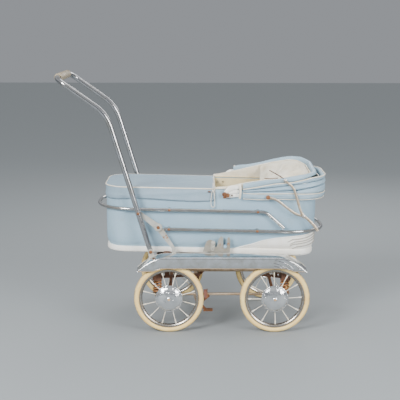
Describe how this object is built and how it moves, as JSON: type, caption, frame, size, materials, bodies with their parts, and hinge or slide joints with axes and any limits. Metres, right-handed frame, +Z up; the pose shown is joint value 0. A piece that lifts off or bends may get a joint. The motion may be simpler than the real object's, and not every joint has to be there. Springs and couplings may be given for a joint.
{
  "type": "vintage pram",
  "caption": "Vintage pram with a blue cot, folded hood, chrome fenders, coil springs, spoked wheels and a folding push handle.",
  "frame": {"origin": "on the ground, under the centre of the pram's overall box", "axes": "+X from the push handle's end towards the head end, +Y across the pram from its near side to its far side, +Z up"},
  "size_m": [0.986, 0.476, 0.931],
  "materials": {
    "cream_tyre": "matte",
    "aged_chrome": "polished, aged with rust spots",
    "bright_steel": "satin",
    "rusty_steel": "rusted",
    "grey_paint": "chipped satin",
    "brown_rubber": "matte",
    "cream_grip": "satin",
    "white_panel": "aged gloss",
    "blue_vinyl": "grained vinyl",
    "blue_fabric": "coated cloth",
    "beige_lining": "matte cloth",
    "white_cord": "matte"
  },
  "bodies": {
    "undercarriage": {"axle_foot": "rusty_steel", "axle_head": "rusty_steel", "side_bar_near": "rusty_steel", "side_bar_far": "rusty_steel", "spring_foot_near": "rusty_steel", "spring_foot_far": "rusty_steel", "spring_head_near": "rusty_steel", "spring_head_far": "rusty_steel"},
    "wheelset_foot_near": {"tyre_foot_near": "cream_tyre", "wheel_foot_near": "aged_chrome", "hub_cap_foot_near": "aged_chrome"},
    "wheelset_foot_far": {"tyre_foot_far": "cream_tyre", "wheel_foot_far": "aged_chrome", "hub_cap_foot_far": "aged_chrome"},
    "wheelset_head_near": {"tyre_head_near": "cream_tyre", "wheel_head_near": "aged_chrome", "hub_cap_head_near": "aged_chrome"},
    "wheelset_head_far": {"tyre_head_far": "cream_tyre", "wheel_head_far": "aged_chrome", "hub_cap_head_far": "aged_chrome"},
    "brake": {"brake_lever": "rusty_steel", "brake_pad_near": "brown_rubber", "brake_pad_far": "brown_rubber"},
    "chassis": {"yoke_foot": "rusty_steel", "yoke_head": "rusty_steel", "fender_near": "aged_chrome", "fender_far": "aged_chrome", "handle_bracket_near": "grey_paint", "handle_bracket_far": "grey_paint", "latch_plate_near": "grey_paint", "latch_plate_far": "grey_paint"},
    "handle": {"handle_tube": "aged_chrome", "handle_grip": "cream_grip"},
    "upper_strut_near": {"strut_upper_near": "grey_paint"},
    "lower_strut_near": {"strut_lower_near": "grey_paint"},
    "latch_near": {"latch_lever_near": "grey_paint"},
    "upper_strut_far": {"strut_upper_far": "grey_paint"},
    "lower_strut_far": {"strut_lower_far": "grey_paint"},
    "latch_far": {"latch_lever_far": "grey_paint"},
    "cot": {"cot_shell": "blue_vinyl", "cot_tray": "white_panel", "cot_lining": "beige_lining", "upper_rail": "aged_chrome", "lower_rail": "aged_chrome", "apron": "blue_fabric", "cord_loop": "white_cord", "hood_hinge_near": "rusty_steel", "hood_hinge_far": "rusty_steel", "hood_valance": "blue_fabric"},
    "hood_rear": {"hood_rear_bow": "bright_steel", "hood_cloth_rear": "blue_fabric"},
    "hood_mid": {"hood_mid_bow": "bright_steel", "hood_cloth_mid": "blue_fabric"},
    "hood_front": {"hood_front_bow": "bright_steel", "hood_cloth_front": "blue_fabric", "hood_lining": "beige_lining"},
    "lower_brace_near": {"brace_lower_near": "bright_steel"},
    "upper_brace_near": {"brace_upper_near": "bright_steel"},
    "lower_brace_far": {"brace_lower_far": "bright_steel"},
    "upper_brace_far": {"brace_upper_far": "bright_steel"}
  },
  "joints": [
    {"name": "roll_foot_near", "type": "hinge", "parent": "undercarriage", "child": "wheelset_foot_near", "pos_m": [-0.082, -0.2173, 0.127], "axis": [0, 1, 0], "continuous": true},
    {"name": "roll_foot_far", "type": "hinge", "parent": "undercarriage", "child": "wheelset_foot_far", "pos_m": [-0.082, 0.2173, 0.127], "axis": [0, 1, 0], "continuous": true},
    {"name": "roll_head_near", "type": "hinge", "parent": "undercarriage", "child": "wheelset_head_near", "pos_m": [0.302, -0.2173, 0.127], "axis": [0, 1, 0], "continuous": true},
    {"name": "roll_head_far", "type": "hinge", "parent": "undercarriage", "child": "wheelset_head_far", "pos_m": [0.302, 0.2173, 0.127], "axis": [0, 1, 0], "continuous": true},
    {"name": "suspension_travel", "type": "slide", "parent": "undercarriage", "child": "chassis", "axis": [0, 0, 1], "range_m": [-0.018, 0], "stiffness_N_per_m": 20000, "springref_m": 0.016, "deforming": ["spring_foot_near", "spring_foot_far", "spring_head_near", "spring_head_far"]},
    {"name": "brake_turn", "type": "hinge", "parent": "undercarriage", "child": "brake", "pos_m": [0.022, 0, 0.1], "axis": [0, 1, 0], "range_deg": [0, 14]},
    {"name": "handle_fold", "type": "hinge", "parent": "chassis", "child": "handle", "pos_m": [-0.1485, 0, 0.292], "axis": [0, 1, 0], "range_deg": [0, 92]},
    {"name": "upper_strut_turn_near", "type": "hinge", "parent": "handle", "child": "upper_strut_near", "pos_m": [-0.1926, -0.1658, 0.4336], "axis": [0, 1, 0], "range_deg": [-54.8, 0]},
    {"name": "lower_strut_turn_near", "type": "hinge", "parent": "chassis", "child": "lower_strut_near", "pos_m": [-0.0647, -0.1658, 0.2985], "axis": [0, 1, 0], "range_deg": [0, 158.3]},
    {"name": "latch_turn_near", "type": "hinge", "parent": "chassis", "child": "latch_near", "pos_m": [0.076, -0.1555, 0.2958], "axis": [0, 1, 0], "range_deg": [0, 40]},
    {"name": "upper_strut_turn_far", "type": "hinge", "parent": "handle", "child": "upper_strut_far", "pos_m": [-0.1926, 0.1658, 0.4336], "axis": [0, 1, 0], "range_deg": [-54.8, 0]},
    {"name": "lower_strut_turn_far", "type": "hinge", "parent": "chassis", "child": "lower_strut_far", "pos_m": [-0.0647, 0.1658, 0.2985], "axis": [0, 1, 0], "range_deg": [0, 158.3]},
    {"name": "latch_turn_far", "type": "hinge", "parent": "chassis", "child": "latch_far", "pos_m": [0.076, 0.1555, 0.2958], "axis": [0, 1, 0], "range_deg": [0, 40]},
    {"name": "cot_lift", "type": "slide", "parent": "chassis", "child": "cot", "axis": [0, 0, 1], "range_m": [0, 0.07]},
    {"name": "hood_open", "type": "hinge", "parent": "cot", "child": "hood_rear", "pos_m": [0.13053, 0, 0.4959], "axis": [0, -1, 0], "range_deg": [0, 18.2]},
    {"name": "hood_mid_turn", "type": "hinge", "parent": "hood_rear", "child": "hood_mid", "pos_m": [0.13053, 0, 0.4959], "axis": [0, -1, 0], "range_deg": [0, 36.2]},
    {"name": "hood_front_turn", "type": "hinge", "parent": "hood_mid", "child": "hood_front", "pos_m": [0.13053, 0, 0.4959], "axis": [0, -1, 0], "range_deg": [0, 31]},
    {"name": "lower_brace_turn_near", "type": "hinge", "parent": "cot", "child": "lower_brace_near", "pos_m": [0.27614, -0.1668, 0.48975], "axis": [0, -1, 0], "range_deg": [0, 141.4]},
    {"name": "upper_brace_turn_near", "type": "hinge", "parent": "lower_brace_near", "child": "upper_brace_near", "pos_m": [0.4062, -0.1668, 0.41972], "axis": [0, 1, 0], "range_deg": [0, 111.5]},
    {"name": "lower_brace_turn_far", "type": "hinge", "parent": "cot", "child": "lower_brace_far", "pos_m": [0.27614, 0.1668, 0.48975], "axis": [0, -1, 0], "range_deg": [0, 141.4]},
    {"name": "upper_brace_turn_far", "type": "hinge", "parent": "lower_brace_far", "child": "upper_brace_far", "pos_m": [0.4062, 0.1668, 0.41972], "axis": [0, 1, 0], "range_deg": [0, 111.5]}
  ],
  "couplings": [
    {"joint": "upper_strut_turn_near", "follows": "handle_fold", "ratio": -0.594},
    {"joint": "lower_strut_turn_near", "follows": "handle_fold", "ratio": 1.7189},
    {"joint": "upper_strut_turn_far", "follows": "handle_fold", "ratio": -0.594},
    {"joint": "lower_strut_turn_far", "follows": "handle_fold", "ratio": 1.7189},
    {"joint": "hood_mid_turn", "follows": "hood_open", "ratio": 1.978},
    {"joint": "hood_front_turn", "follows": "hood_open", "ratio": 1.6923},
    {"joint": "lower_brace_turn_near", "follows": "hood_open", "ratio": 7.7548},
    {"joint": "upper_brace_turn_near", "follows": "hood_open", "ratio": 6.1123},
    {"joint": "lower_brace_turn_far", "follows": "hood_open", "ratio": 7.7548},
    {"joint": "upper_brace_turn_far", "follows": "hood_open", "ratio": 6.1123}
  ]
}
